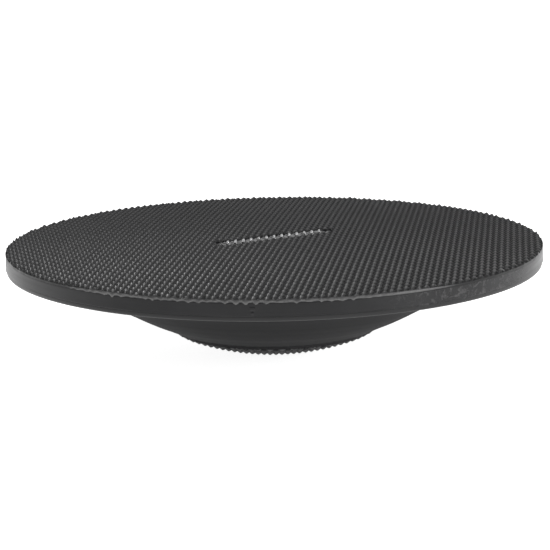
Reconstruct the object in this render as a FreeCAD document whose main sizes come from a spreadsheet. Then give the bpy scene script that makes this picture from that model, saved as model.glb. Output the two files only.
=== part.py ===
"""Balance dome trainer: a round standing deck on a shallow dome that rocks on the floor.

The frame has +Z up and its origin on the floor, under the lowest studs of the dome.
Sizes are in millimetres. Every length comes from the sheet named dims.
"""

import FreeCAD, Part
import Sketcher
import math
import os

DRIVING = [
    # name, value, what it is
    ("rim_radius", 200.0, "widest radius, at the joint line of the rim"),
    ("rim_draft", 0.5, "how much narrower the rim is at its top"),
    ("total_height", 87.0, "floor to the tips of the studs in the deck's middle"),
    ("deck_crown", 3.0, "how much higher the deck's middle is than its rim"),
    ("stud_height", 2.5, "height of a stud on the deck mat and on the dome tread"),
    ("mat_web", 1.5, "solid thickness of the rubber sheet under its studs"),
    ("skin", 2.5, "thickness of the upper shell's top"),
    ("band_wall", 4.0, "thickness of the upper shell's side band"),
    ("plate_thickness", 6.5, "thickness of the plywood plate"),
    ("plate_gap", 0.5, "gap between the plate's edge and the side band"),
    ("annulus_thickness", 3.4, "thickness of the base shell's flat ring"),
    ("groove_height", 0.6, "height of the shadow groove along the joint line"),
    ("groove_depth", 1.6, "depth of the shadow groove"),
    ("lip_inset", 0.7, "how far the base shell's lip stands in from the band"),
    ("lip_round", 2.0, "rounding of the lip's lower edge"),
    ("flank_top_radius", 166.0, "where the flank meets the flat ring"),
    ("flank_blend", 14.0, "blend radius between flank and flat ring"),
    ("cavity_radius", 165.0, "inner radius of the flat ring"),
    ("crease_radius", 105.0, "ring where the flank turns steeper"),
    ("crease_height", 32.2, "height of that ring"),
    ("wall_rise", 3.9, "wall of the dome and flank, measured upward"),
    ("dome_radius", 184.0, "sphere radius of the dome"),
    ("tread_radius", 77.0, "radius of the studded tread on the dome"),
    ("tread_gap", 0.3, "gap round the tread's edge"),
    ("boss_radius", 16.0, "boss inside the shell at the centre"),
    ("boss_top", 14.6, "height of that boss"),
    ("bore_radius", 4.4, "clearance hole of the centre bolt"),
    ("counterbore_radius", 9.0, "pocket of the centre bolt's head"),
    ("counterbore_top", 10.6, "height of that pocket's floor"),
    ("hub_radius", 14.0, "hub of the rib frame"),
    ("rib_width", 4.0, "thickness of each rib"),
    ("rib_reach", 158.0, "how far the radial ribs reach"),
    ("inner_ring_radius", 68.0, "middle of the inner ring rib"),
    ("outer_ring_radius", 116.0, "middle of the outer ring rib"),
    ("rib_clearance", 0.2, "gap between the ribs and the shell"),
    ("screw_ring_radius", 182.0, "ring on which the shell screws lie"),
    ("screw_radius", 2.5, "M5 shank"),
    ("screw_head_radius", 4.6, "M5 countersunk head"),
    ("screw_head_height", 2.5, "height of that head"),
    ("screw_length", 9.0, "whole length of a shell screw"),
    ("screw_play", 0.25, "radial play of a screw in the shell"),
    ("insert_radius", 3.5, "outside of a threaded insert"),
    ("insert_length", 5.8, "length of a threaded insert"),
    ("thread_play", 0.05, "radial play that stands in for a thread"),
    ("bolt_radius", 4.0, "M8 shank"),
    ("bolt_head_radius", 7.0, "M8 button head"),
    ("bolt_head_height", 4.4, "height of that head"),
    ("bolt_end", 76.6, "height of the bolt's upper end"),
    ("washer_radius", 8.5, "outside of the centre washer"),
    ("washer_thickness", 1.6, "thickness of the centre washer"),
    ("nut_flange_radius", 11.0, "flange of the centre nut"),
    ("nut_flange_thickness", 1.5, "thickness of that flange"),
    ("nut_barrel_radius", 5.4, "barrel of the centre nut"),
    ("nut_barrel_length", 4.6, "length of that barrel"),
    ("badge_length", 100.0, "length of the plain badge"),
    ("badge_width", 15.0, "width of the plain badge"),
    ("badge_angle", 30.0, "turn of the badge, in degrees"),
    ("badge_recess", 3.2, "depth of the badge's recess below the stud tips"),
    ("badge_plate", 0.9, "thickness of the badge's plate"),
    ("badge_play", 0.3, "gap round the badge in its recess"),
    ("bar_height", 1.6, "height of the raised bars on the badge"),
    ("bar_length", 8.4, "length of a raised bar"),
    ("bar_width", 2.6, "width of a raised bar"),
    ("bar_slant", 32.0, "lean of the bars, in degrees"),
    ("bar_spacing", 6.6, "distance from bar to bar"),
]
RIBS = 8
SCREWS = 8
BARS = 13


class Size:
    """A number together with the sheet expression that gives it."""

    def __init__(self, value, text):
        self.value = value
        self.text = text

    def _join(self, other, sign, value):
        return Size(value, f"({self.text} {sign} {as_size(other).text})")

    def __add__(self, other):
        return self._join(other, "+", self.value + as_size(other).value)

    def __sub__(self, other):
        return self._join(other, "-", self.value - as_size(other).value)

    def __mul__(self, other):
        return self._join(other, "*", self.value * as_size(other).value)

    def __truediv__(self, other):
        return self._join(other, "/", self.value / as_size(other).value)

    def root(self):
        """The square root."""
        return Size(math.sqrt(self.value), f"sqrt({self.text})")


def as_size(number):
    """A plain number as a Size, and a Size as it is."""
    return number if isinstance(number, Size) else Size(float(number), f"{float(number):g}")


class Dimensions:
    """The sheet's cells as attributes, each one a Size."""

    def __init__(self, doc):
        sheet = doc.addObject("Spreadsheet::Sheet", "dims")
        for row, (name, value, meaning) in enumerate(DRIVING, start=1):
            sheet.set(f"A{row}", name)
            sheet.set(f"B{row}", f"{value:g}")
            sheet.set(f"C{row}", meaning)
            sheet.setAlias(f"B{row}", name)
            setattr(self, name, Size(value, f"dims.{name}"))
        self.heights()

    def heights(self):
        """The levels of the stack, from the deck down, and the points of the dome's section."""
        self.rim_top = self.total_height - self.deck_crown
        self.valley = self.rim_top - self.stud_height
        self.mat_bottom = self.valley - self.mat_web
        self.skin_bottom = self.mat_bottom - self.skin
        self.plate_bottom = self.skin_bottom - self.plate_thickness
        self.ring_bottom = self.plate_bottom - self.annulus_thickness
        self.band_inside = self.rim_radius - self.band_wall
        self.lip_radius = self.rim_radius - self.lip_inset
        self.seat_height = self.stud_height + self.mat_web
        self.seat_radius = self.tread_radius + self.tread_gap

    def sag(self, radius):
        """How far the dome's sphere has risen at that radius."""
        rest = self.dome_radius * self.dome_radius - as_size(radius) * radius
        return self.dome_radius - rest.root()


def origin_feature(body, role):
    """One of the body's own origin planes or axes."""
    return next(f for f in body.Origin.OriginFeatures if f.Role == role)


def new_body(doc, label):
    """An empty body. It may hold several separate solids, as a set of screws does."""
    body = doc.addObject("PartDesign::Body", label)
    body.Label = label
    body.AllowCompound = True
    return body


def new_sketch(body, name, plane, lift=None, turn=None):
    """A sketch on one of the body's origin planes, lifted along its normal and turned about it."""
    sketch = body.newObject("Sketcher::SketchObject", name)
    sketch.AttachmentSupport = [(origin_feature(body, plane), "")]
    sketch.MapMode = "FlatFace"
    if lift is not None:
        sketch.setExpression(".AttachmentOffset.Base.z", lift.text)
    if turn is not None:
        sketch.setExpression(".AttachmentOffset.Rotation.Angle", turn.text)
    return sketch


def pin_point(sketch, geometry, point, x, y):
    """Holds one point of the sketch at x, y. A zero holds it on the axis."""
    places = (("DistanceX", x, -2), ("DistanceY", y, -1))
    for kind, size, axis in places:
        size = as_size(size)
        if size.value == 0:
            sketch.addConstraint(Sketcher.Constraint("PointOnObject", geometry, point, axis))
            continue
        if size.value > 0:
            held = Sketcher.Constraint(kind, -1, 1, geometry, point, size.value)
        else:
            held = Sketcher.Constraint(kind, geometry, point, -1, 1, -size.value)
            size = as_size(0) - size
        index = sketch.addConstraint(held)
        sketch.setExpression(f"Constraints[{index}]", size.text)


def draw_outline(sketch, corners, arcs=()):
    """A closed outline through the corners. A side listed in arcs is a piece of a circle centred on
    the sketch's upright axis; the rest are straight."""
    count = len(corners)
    points = [FreeCAD.Vector(as_size(x).value, as_size(y).value, 0) for x, y in corners]
    sides = []
    for i in range(count):
        a, b = points[i], points[(i + 1) % count]
        if i in arcs:
            sides.append(sketch.addGeometry(axis_arc(a, b), False))
        else:
            sides.append(sketch.addGeometry(Part.LineSegment(a, b), False))
    for i, (x, y) in enumerate(corners):
        pin_point(sketch, sides[i], start_of(points, i, arcs), x, y)
    for i in range(count):
        j = (i + 1) % count
        ends = (sides[i], end_of(points, i, arcs), sides[j], start_of(points, j, arcs))
        sketch.addConstraint(Sketcher.Constraint("Coincident", *ends))
    for i in arcs:
        sketch.addConstraint(Sketcher.Constraint("PointOnObject", sides[i], 3, -2))


def axis_arc(a, b):
    """The arc from a to b below its centre, which is on the upright axis."""
    height = (b.x**2 + b.y**2 - a.x**2 - a.y**2) / (2 * (b.y - a.y))
    centre = FreeCAD.Vector(0, height, 0)
    circle = Part.Circle(centre, FreeCAD.Vector(0, 0, 1), (a - centre).Length)
    low, high = sorted((a, b), key=lambda p: p.x)
    angles = [math.atan2(p.y - height, p.x) for p in (low, high)]
    return Part.ArcOfCircle(circle, *angles)


def start_of(points, i, arcs):
    """Which end of side i is corner i: an arc always runs outward."""
    outward = points[(i + 1) % len(points)].x > points[i].x
    return 1 if i not in arcs or outward else 2


def end_of(points, i, arcs):
    """The other end of side i."""
    return 3 - start_of(points, i, arcs)


def turn_profile(body, name, corners, arcs=(), cut=False, axis_radius=None):
    """Turns an outline of (radius, height) corners about the upright axis, or about a line parallel
    to it at axis_radius. With cut, it takes material away."""
    sketch = new_sketch(body, name + "_profile", "XZ_Plane")
    axis = "V_Axis"
    if axis_radius is not None:
        corners = [(axis_radius + r, z) for r, z in corners]
        low, high = FreeCAD.Vector(axis_radius.value, 0, 0), FreeCAD.Vector(axis_radius.value, 50, 0)
        line = sketch.addGeometry(Part.LineSegment(low, high), True)
        pin_point(sketch, line, 1, axis_radius, 0)
        pin_point(sketch, line, 2, axis_radius, 50)
        axis = "Axis0"
    draw_outline(sketch, corners, arcs)
    feature = body.newObject("PartDesign::" + ("Groove" if cut else "Revolution"), name)
    feature.Profile = sketch
    feature.ReferenceAxis = (sketch, [axis])
    feature.Angle = 360
    return feature


def extrude(body, name, sketch, length, cut=False, reverse=False):
    """Pads the sketch upward by length, or with cut pockets it, which reverse turns about."""
    feature = body.newObject("PartDesign::" + ("Pocket" if cut else "Pad"), name)
    feature.Profile = sketch
    feature.setExpression("Length", length.text)
    feature.Reversed = reverse
    return feature


def draw_circle(sketch, x, radius):
    """A circle on the sketch's X axis."""
    centre = FreeCAD.Vector(as_size(x).value, 0, 0)
    circle = sketch.addGeometry(Part.Circle(centre, FreeCAD.Vector(0, 0, 1), radius.value), False)
    pin_point(sketch, circle, 3, x, 0)
    index = sketch.addConstraint(Sketcher.Constraint("Radius", circle, radius.value))
    sketch.setExpression(f"Constraints[{index}]", radius.text)


def draw_stadium(sketch, length, width, x=0, y=0):
    """A rounded bar along the sketch's X axis, about the point x, y."""
    straight = (length - width) / 2
    half = width / 2
    x, y = as_size(x), as_size(y)
    up = FreeCAD.Vector(0, 0, 1)
    right = FreeCAD.Vector(x.value + straight.value, y.value, 0)
    left = FreeCAD.Vector(x.value - straight.value, y.value, 0)
    rise = FreeCAD.Vector(0, half.value, 0)
    quarter = math.pi / 2
    ends = [
        sketch.addGeometry(Part.ArcOfCircle(Part.Circle(right, up, half.value), -quarter, quarter)),
        sketch.addGeometry(Part.ArcOfCircle(Part.Circle(left, up, half.value), quarter, 3 * quarter)),
    ]
    top = sketch.addGeometry(Part.LineSegment(right + rise, left + rise))
    bottom = sketch.addGeometry(Part.LineSegment(left - rise, right - rise))
    for a, pa, b, pb in ((ends[0], 2, top, 1), (top, 2, ends[1], 1), (ends[1], 2, bottom, 1), (bottom, 2, ends[0], 1)):
        sketch.addConstraint(Sketcher.Constraint("Tangent", a, pa, b, pb))
    pin_point(sketch, ends[0], 3, x + straight, y)
    pin_point(sketch, ends[1], 3, x - straight, y)
    index = sketch.addConstraint(Sketcher.Constraint("Radius", ends[0], half.value))
    sketch.setExpression(f"Constraints[{index}]", half.text)


def draw_hexagon(sketch, x, radius):
    """A hexagon about a point of the sketch's X axis."""
    half = radius / 2
    side = radius * math.sqrt(0.75)
    zero = as_size(0)
    corners = [(radius, 0), (half, side), (zero - half, side), (zero - radius, 0), (zero - half, zero - side), (half, zero - side)]
    draw_outline(sketch, [(as_size(x) + cx, cy) for cx, cy in corners])


def ring_of(body, name, features, count):
    """Repeats the features round the upright axis, and makes that the body's result."""
    pattern = body.newObject("PartDesign::PolarPattern", name)
    pattern.Originals = features
    pattern.Axis = (origin_feature(body, "Z_Axis"), [""])
    pattern.Angle = 360
    pattern.Occurrences = count
    body.Tip = pattern
    return pattern


def round_edge(body, name, radius, height, blend):
    """Blends the circular edge at that radius and height."""
    body.Document.recompute()
    base = body.Tip
    edges = []
    for i, edge in enumerate(base.Shape.Edges, start=1):
        curve = edge.Curve
        if isinstance(curve, Part.Circle):
            near = abs(curve.Radius - radius.value) < 0.01 and abs(curve.Center.z - height.value) < 0.01
            if near and curve.Center.x**2 + curve.Center.y**2 < 0.01:
                edges.append(f"Edge{i}")
    feature = body.newObject("PartDesign::Fillet", name)
    feature.Base = (base, edges)
    feature.setExpression("Radius", blend.text)
    body.Tip = feature
    return feature


def deck_mat(doc, d):
    """The rubber sheet that the feet stand on, out to the tips of its studs, with the badge's recess.
    Its crowned top is a flat middle and three cones, whose corners lie on a shallow parabola."""
    body = new_body(doc, "deck_mat")
    edge = d.rim_radius - d.rim_draft
    corners = [
        (0, d.mat_bottom),
        (edge, d.mat_bottom),
        (edge, d.rim_top),
        (edge * 0.75, d.rim_top + d.deck_crown * 0.4375),
        (edge * 0.5, d.rim_top + d.deck_crown * 0.75),
        (edge * 0.25, d.total_height),
        (0, d.total_height),
    ]
    turn_profile(body, "sheet", corners)
    sketch = new_sketch(body, "recess_outline", "XY_Plane", d.total_height, d.badge_angle)
    draw_stadium(sketch, d.badge_length, d.badge_width)
    extrude(body, "recess", sketch, d.badge_recess, cut=True)
    return body


def centre_badge(doc, d):
    """A plain badge with a row of slanted bars, let into the deck mat."""
    body = new_body(doc, "centre_badge")
    bottom = d.total_height - d.badge_recess
    plate = new_sketch(body, "plate_outline", "XY_Plane", bottom, d.badge_angle)
    length = d.badge_length - d.badge_play * 2
    draw_stadium(plate, length, d.badge_width - d.badge_play * 2)
    extrude(body, "plate", plate, d.badge_plate)
    first = as_size(0) - d.bar_spacing * ((BARS - 1) / 2)
    bar = new_sketch(body, "bar_outline", "XY_Plane", bottom + d.badge_plate * 0.5, d.badge_angle)
    lean = d.bar_length * (0.5 * math.tan(math.radians(d.bar_slant.value)))
    half, rise = d.bar_width / 2, d.bar_length / 2
    corners = [
        (first - lean - half, as_size(0) - rise),
        (first - lean + half, as_size(0) - rise),
        (first + lean + half, rise),
        (first + lean - half, rise),
    ]
    draw_outline(bar, corners)
    raised = extrude(body, "bar", bar, d.bar_height + d.badge_plate * 0.5)
    row = body.newObject("PartDesign::LinearPattern", "bars")
    row.Originals = [raised]
    row.Direction = (bar, ["H_Axis"])
    row.setExpression("Length", (d.bar_spacing * (BARS - 1)).text)
    row.Occurrences = BARS
    body.Tip = row
    return body


def upper_shell(doc, d):
    """The moulded tray over the plate: its top skin and the smooth side band of the rim."""
    body = new_body(doc, "upper_shell")
    tongue = d.rim_radius - d.groove_depth
    band_end = d.plate_bottom + d.groove_height
    corners = [
        (0, d.mat_bottom),
        (0, d.skin_bottom),
        (d.band_inside, d.skin_bottom),
        (d.band_inside, d.plate_bottom),
        (tongue, d.plate_bottom),
        (tongue, band_end),
        (d.rim_radius, band_end),
        (d.rim_radius - d.rim_draft, d.mat_bottom),
    ]
    turn_profile(body, "tray", corners)
    return body


def deck_plate(doc, d):
    """The plywood plate that carries the load, bored for the inserts and the centre nut."""
    body = new_body(doc, "deck_plate")
    outline = new_sketch(body, "disc_outline", "XY_Plane", d.plate_bottom)
    draw_circle(outline, 0, d.band_inside - d.plate_gap)
    extrude(body, "disc", outline, d.plate_thickness)
    flange = d.skin_bottom - d.nut_flange_thickness
    step = [
        (0, d.plate_bottom),
        (d.nut_barrel_radius, d.plate_bottom),
        (d.nut_barrel_radius, flange),
        (d.nut_flange_radius, flange),
        (d.nut_flange_radius, d.skin_bottom),
        (0, d.skin_bottom),
    ]
    turn_profile(body, "nut_seat", step, cut=True)
    hole = new_sketch(body, "insert_outline", "XY_Plane", d.plate_bottom)
    draw_circle(hole, d.screw_ring_radius, d.insert_radius)
    seat = extrude(body, "insert_seat", hole, d.insert_length, cut=True, reverse=True)
    ring_of(body, "insert_seats", [seat], SCREWS)
    return body


def base_shell(doc, d):
    """The moulded underside: lip, flat ring, flank, dome and the boss for the centre bolt."""
    body = new_body(doc, "base_shell")
    seat_edge = d.seat_height + d.sag(d.seat_radius)
    flank_foot = d.stud_height + d.sag(d.seat_radius)
    inner = d.seat_height + d.wall_rise
    corners = [
        (d.bore_radius, d.boss_top),
        (d.bore_radius, d.counterbore_top),
        (d.counterbore_radius, d.counterbore_top),
        (d.counterbore_radius, d.seat_height + d.sag(d.counterbore_radius)),
        (d.seat_radius, seat_edge),
        (d.seat_radius, flank_foot),
        (d.crease_radius, d.crease_height),
        (d.flank_top_radius, d.ring_bottom),
        (d.lip_radius, d.ring_bottom),
        (d.lip_radius, d.plate_bottom),
        (d.cavity_radius, d.plate_bottom),
        (d.crease_radius, d.crease_height + d.wall_rise),
        (d.seat_radius, inner + d.sag(d.seat_radius)),
        (d.boss_radius, inner + d.sag(d.boss_radius)),
        (d.boss_radius, d.boss_top),
    ]
    turn_profile(body, "shell", corners, arcs=(3, 12))
    round_edge(body, "lip_edge", d.lip_radius, d.ring_bottom, d.lip_round)
    round_edge(body, "flank_root", d.flank_top_radius, d.ring_bottom, d.flank_blend)
    sink = [
        (0, d.ring_bottom),
        (d.screw_head_radius + d.screw_play, d.ring_bottom),
        (d.screw_radius + d.screw_play, d.ring_bottom + d.screw_head_height),
        (d.screw_radius + d.screw_play, d.plate_bottom),
        (0, d.plate_bottom),
    ]
    hole = turn_profile(body, "screw_hole", sink, cut=True, axis_radius=d.screw_ring_radius)
    ring_of(body, "screw_holes", [hole], SCREWS)
    return body


def rib_frame(doc, d):
    """Hub, radial ribs and ring ribs that stand in the dome and hold the plate up."""
    body = new_body(doc, "rib_frame")
    hub = [
        (d.bore_radius, d.boss_top),
        (d.hub_radius, d.boss_top),
        (d.hub_radius, d.plate_bottom),
        (d.bore_radius, d.plate_bottom),
    ]
    turn_profile(body, "hub", hub)
    for name, radius in (("inner_ring", d.inner_ring_radius), ("outer_ring", d.outer_ring_radius)):
        half = d.rib_width / 2
        low = d.boss_top
        box = [(radius - half, low), (radius + half, low), (radius + half, d.plate_bottom), (radius - half, d.plate_bottom)]
        turn_profile(body, name, box)
    outline = new_sketch(body, "rib_outline", "XY_Plane", as_size(0) + 0.1)
    half = d.rib_width / 2
    start = d.bore_radius + half
    draw_outline(outline, [(start, as_size(0) - half), (d.rib_reach, as_size(0) - half), (d.rib_reach, half), (start, half)])
    rib = extrude(body, "rib", outline, d.plate_bottom - 0.1)
    ring_of(body, "ribs", [rib], RIBS)
    inner = d.seat_height + d.wall_rise + d.rib_clearance
    beyond = d.cavity_radius + 5
    slope = (d.plate_bottom - d.crease_height - d.wall_rise) / (d.cavity_radius - d.crease_radius)
    below = [
        (0, 0),
        (beyond, 0),
        (beyond, d.plate_bottom + slope * 5 + d.rib_clearance),
        (d.crease_radius, d.crease_height + d.wall_rise + d.rib_clearance),
        (d.seat_radius, inner + d.sag(d.seat_radius)),
        (d.boss_radius + 1, inner + d.sag(d.boss_radius + 1)),
        (d.boss_radius + 1, d.boss_top),
        (0, d.boss_top),
    ]
    turn_profile(body, "shell_clearance", below, arcs=(4,), cut=True)
    return body


def dome_tread(doc, d):
    """The studded rubber cap on the dome, out to the tips of its studs."""
    body = new_body(doc, "dome_tread")
    rise = d.sag(d.tread_radius)
    corners = [(0, 0), (d.tread_radius, rise), (d.tread_radius, d.seat_height + rise), (0, d.seat_height)]
    turn_profile(body, "cap", corners, arcs=(0, 2))
    return body


def shell_screws(doc, d):
    """The countersunk M5 screws that hold the base shell to the plate."""
    body = new_body(doc, "shell_screws")
    low = d.ring_bottom + 0.1
    corners = [
        (0, low),
        (d.screw_head_radius, low),
        (d.screw_radius, low + d.screw_head_height),
        (d.screw_radius, low + d.screw_length),
        (0, low + d.screw_length),
    ]
    screw = turn_profile(body, "screw", corners, axis_radius=d.screw_ring_radius)
    socket = new_sketch(body, "socket_outline", "XY_Plane", low)
    draw_hexagon(socket, d.screw_ring_radius, d.screw_radius * 0.7)
    drive = extrude(body, "socket", socket, d.screw_head_height * 0.7, cut=True, reverse=True)
    ring_of(body, "screws", [screw, drive], SCREWS)
    return body


def threaded_inserts(doc, d):
    """The brass inserts in the plate that take the shell screws."""
    body = new_body(doc, "threaded_inserts")
    bore = d.screw_radius + d.thread_play
    top = d.plate_bottom + d.insert_length
    corners = [(bore, d.plate_bottom), (d.insert_radius, d.plate_bottom), (d.insert_radius, top), (bore, top)]
    insert = turn_profile(body, "insert", corners, axis_radius=d.screw_ring_radius)
    ring_of(body, "inserts", [insert], SCREWS)
    return body


def centre_bolt(doc, d):
    """The M8 button-head bolt that ties dome, ribs and plate together."""
    body = new_body(doc, "centre_bolt")
    under_head = d.counterbore_top - d.washer_thickness
    low = under_head - d.bolt_head_height
    flat = d.bolt_head_radius * 0.6
    corners = [
        (0, low),
        (flat, low),
        (d.bolt_head_radius, under_head - d.bolt_head_height * 0.35),
        (d.bolt_head_radius, under_head),
        (d.bolt_radius, under_head),
        (d.bolt_radius, d.bolt_end),
        (0, d.bolt_end),
    ]
    turn_profile(body, "bolt", corners)
    socket = new_sketch(body, "socket_outline", "XY_Plane", low)
    draw_hexagon(socket, 0, d.bolt_radius * 0.7)
    extrude(body, "socket", socket, d.bolt_head_height * 0.6, cut=True, reverse=True)
    return body


def centre_washer(doc, d):
    """The washer under the bolt's head."""
    body = new_body(doc, "centre_washer")
    low = d.counterbore_top - d.washer_thickness
    hole = d.bolt_radius + 0.2
    corners = [(hole, low), (d.washer_radius, low), (d.washer_radius, d.counterbore_top), (hole, d.counterbore_top)]
    turn_profile(body, "washer", corners)
    return body


def centre_nut(doc, d):
    """The flanged nut let into the top of the plate."""
    body = new_body(doc, "centre_nut")
    flange = d.skin_bottom - d.nut_flange_thickness
    barrel = flange - d.nut_barrel_length
    bore = d.bolt_radius + d.thread_play
    corners = [
        (bore, barrel),
        (d.nut_barrel_radius, barrel),
        (d.nut_barrel_radius, flange),
        (d.nut_flange_radius, flange),
        (d.nut_flange_radius, d.skin_bottom),
        (bore, d.skin_bottom),
    ]
    turn_profile(body, "nut", corners)
    return body


PIECES = [
    deck_mat,
    centre_badge,
    upper_shell,
    deck_plate,
    rib_frame,
    base_shell,
    dome_tread,
    shell_screws,
    threaded_inserts,
    centre_bolt,
    centre_washer,
    centre_nut,
]


def faults_in(doc, bodies):
    """What is wrong with the document, as a list of words. It is empty when all is well."""
    faults = []
    for item in doc.Objects:
        if {"Invalid", "Error"} & set(item.State):
            faults.append(f"{item.Label} did not compute")
    for body in bodies:
        if body.Shape.isNull() or not body.Shape.isValid():
            faults.append(f"{body.Label} has no valid shape")
    return faults


def main():
    doc = FreeCAD.newDocument("balance_dome_trainer")
    d = Dimensions(doc)
    doc.recompute()
    bodies = [make(doc, d) for make in PIECES]
    doc.recompute()
    faults = faults_in(doc, bodies)
    if faults:
        raise RuntimeError("; ".join(faults))
    os.makedirs("parts", exist_ok=True)
    for body in bodies:
        shape = body.Shape
        print(f"{body.Label}: {len(shape.Solids)} solid(s), {shape.Volume / 1000:.2f} cm3, box {shape.BoundBox}")
        shape.exportStep(os.path.join("parts", body.Label + ".step"))


main()
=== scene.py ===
"""Balance dome trainer: the looks of the board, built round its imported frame.

Laid out as an add-on: property groups hold the sizes and colours, one operator makes each piece, and
main() runs them in order. Lengths are in metres, in the frame's own axes: +Z up, the floor at 0.
"""

import math

import bpy
import numpy as np
from bpy.props import FloatProperty, FloatVectorProperty, IntProperty, PointerProperty
from mathutils import Matrix, Vector


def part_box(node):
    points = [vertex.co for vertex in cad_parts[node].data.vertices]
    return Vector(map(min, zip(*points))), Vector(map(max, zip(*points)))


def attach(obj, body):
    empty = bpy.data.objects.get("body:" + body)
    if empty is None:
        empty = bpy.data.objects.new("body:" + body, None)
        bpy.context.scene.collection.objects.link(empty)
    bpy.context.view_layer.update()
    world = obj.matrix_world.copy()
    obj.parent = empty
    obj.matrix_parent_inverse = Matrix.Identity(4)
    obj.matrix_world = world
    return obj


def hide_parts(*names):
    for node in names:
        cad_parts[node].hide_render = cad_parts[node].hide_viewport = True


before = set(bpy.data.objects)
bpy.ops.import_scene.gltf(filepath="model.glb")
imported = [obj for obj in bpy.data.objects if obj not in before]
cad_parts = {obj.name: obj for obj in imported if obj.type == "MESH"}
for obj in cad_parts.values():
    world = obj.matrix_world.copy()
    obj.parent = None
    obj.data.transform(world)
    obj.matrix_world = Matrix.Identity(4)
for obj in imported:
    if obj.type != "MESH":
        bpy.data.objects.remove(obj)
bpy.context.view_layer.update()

MAT_LOW, MAT_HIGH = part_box("deck_mat")
BAND_LOW, BAND_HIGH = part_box("upper_shell")
TREAD_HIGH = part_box("dome_tread")[1]
PLATE_LOW, PLATE_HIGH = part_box("deck_plate")
BADGE_LOW, BADGE_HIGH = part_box("centre_badge")
SCREW_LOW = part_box("shell_screws")[0]

bl_info = {
    "name": "Balance Dome Trainer",
    "version": (1, 0, 0),
    "blender": (4, 5, 0),
    "location": "View3D > Sidebar > Balance Dome",
    "description": "Builds a studded balance board on its packed frame",
    "category": "Add Mesh",
}

MM = 0.001
BASE_RING = SCREW_LOW.z - 0.1 * MM
CUT_MARGIN = 0.3 * MM


def length(name, description, millimetres, lowest=0.0):
    """A size in metres with its default in millimetres."""
    return FloatProperty(
        name=name, description=description, default=millimetres * MM, min=lowest, precision=5,
        subtype="DISTANCE", unit="LENGTH",
    )


def angle(name, description, degrees):
    """An angle with its default in degrees."""
    return FloatProperty(
        name=name, description=description, default=math.radians(degrees), subtype="ANGLE", unit="ROTATION"
    )


def colour(name, description, red, green, blue):
    """A colour."""
    return FloatVectorProperty(
        name=name, description=description, default=(red, green, blue), min=0, max=1, size=3,
        subtype="COLOR",
    )


def number(name, description, default, low=0.0, high=1000.0):
    """A plain number."""
    return FloatProperty(name=name, description=description, default=default, min=low, max=high)


class StudSizes(bpy.types.PropertyGroup):
    """The square pyramids that cover the deck and the dome's tread."""

    pitch: length("Pitch", "Distance from stud to stud", 6.15)
    height: length("Height", "From the valley to the tip", 2.5)
    turn: angle("Turn", "Turn of the rows from the X axis", 37.1)
    shoulder: number("Shoulder", "Where the tip starts, as a share of the pitch", 0.08, 0.02, 0.3)
    shoulder_height: number("Shoulder height", "Height there, as a share of the stud", 0.90, 0.3, 1.0)
    foot: number("Foot", "Where the slope ends, as a share of the pitch", 0.45, 0.4, 0.5)


class DeckSizes(bpy.types.PropertyGroup):
    """The studded mat and the badge let into it."""

    radius: length("Radius", "Edge of the studded mat", round(MAT_HIGH.x / MM, 1))
    top: length("Top", "Height of the stud tips in the middle", MAT_HIGH.z / MM)
    crown: length("Crown", "How much lower the deck is at its edge", 3.0)
    bottom: length("Bottom", "Underside of the mat", MAT_LOW.z / MM)
    flash: length("Flash", "How far the thin flash along the cut edge stands out", 0.7)
    droop: length("Droop", "How far the flash hangs down", 2.8)
    flash_angle: angle("Flash angle", "Place round the rim where the flash is fullest", -94.0)
    ragged: number("Ragged", "How much the cut studs along the edge vary, as a share", 0.35, 0.0, 1.0)
    badge_length: length("Badge length", "Length of the recess", 100.0)
    badge_width: length("Badge width", "Width of the recess", 15.0)
    badge_turn: angle("Badge turn", "Turn of the badge from the X axis", 30.0)
    recess: length("Recess", "Floor of the recess below the stud tips", 3.2)


class RimSizes(bpy.types.PropertyGroup):
    """The smooth band round the rim and the lip of the base shell under it."""

    radius: length("Radius", "Widest radius of the rim", round(BAND_HIGH.x / MM, 1))
    draft: length("Draft", "How much narrower the band is at its top", 0.5)
    wall: length("Wall", "Thickness of the band", 4.0)
    skin: length("Skin", "Thickness of the shell's top", 2.5)
    joint_depth: length("Joint depth", "Depth of the dark joint line", 0.9)
    joint_height: length("Joint height", "Height of the dark joint line", 0.28)
    closed_angle: angle("Closed angle", "Place round the rim where the joint is pressed shut", -85.0)
    lip_inset: length("Lip inset", "How far the lip stands in from the band", 0.7)
    lip_round: length("Lip round", "Rounding of the lip's lower edge", 2.0)
    gate_angle: angle("Gate angle", "Place of the moulding gate's mark round the rim", -94.2)
    gate_pad: length("Gate pad", "Height of the gate's raised pad above the floor", 76.4)
    gate_nub: length("Gate nub", "Height of the round nub under it", 73.4)
    scuff_angle: angle("Scuff angle", "Place of the scuffed stretch round the rim", -48.0)
    scuff_height: length("Scuff height", "Height of the middle of the scuffs", 77.0)
    rolled_angle: angle("Rolled angle", "Place round the rim where the flash is an even line", -64.0)


class DomeSizes(bpy.types.PropertyGroup):
    """The flank and the round tread."""

    sphere: length("Sphere", "Radius of the dome", 184.0)
    tread_radius: length("Tread radius", "Edge of the studded tread", round(TREAD_HIGH.x / MM, 1))
    tread_turn: angle("Tread turn", "Turn of the tread's rows from the deck's", 7.9)
    sheet: length("Sheet", "Rubber behind the studs", 1.5)
    gap: length("Gap", "Gap round the tread", 0.06)
    crease_radius: length("Crease radius", "Ring where the flank turns steeper", 105.0)
    crease_height: length("Crease height", "Height of that ring", 32.2)
    root_radius: length("Root radius", "Where the flank meets the flat ring", 166.0)
    root_round: length("Root round", "Rounding there", 14.0)
    wall_rise: length("Wall rise", "Wall of the dome, measured upward", 3.9)
    screw_ring: length("Screw ring", "Ring on which the screws lie", 182.0)
    screw_count: IntProperty(name="Screws", description="Screws on that ring", default=8, min=3, max=24)


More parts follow.
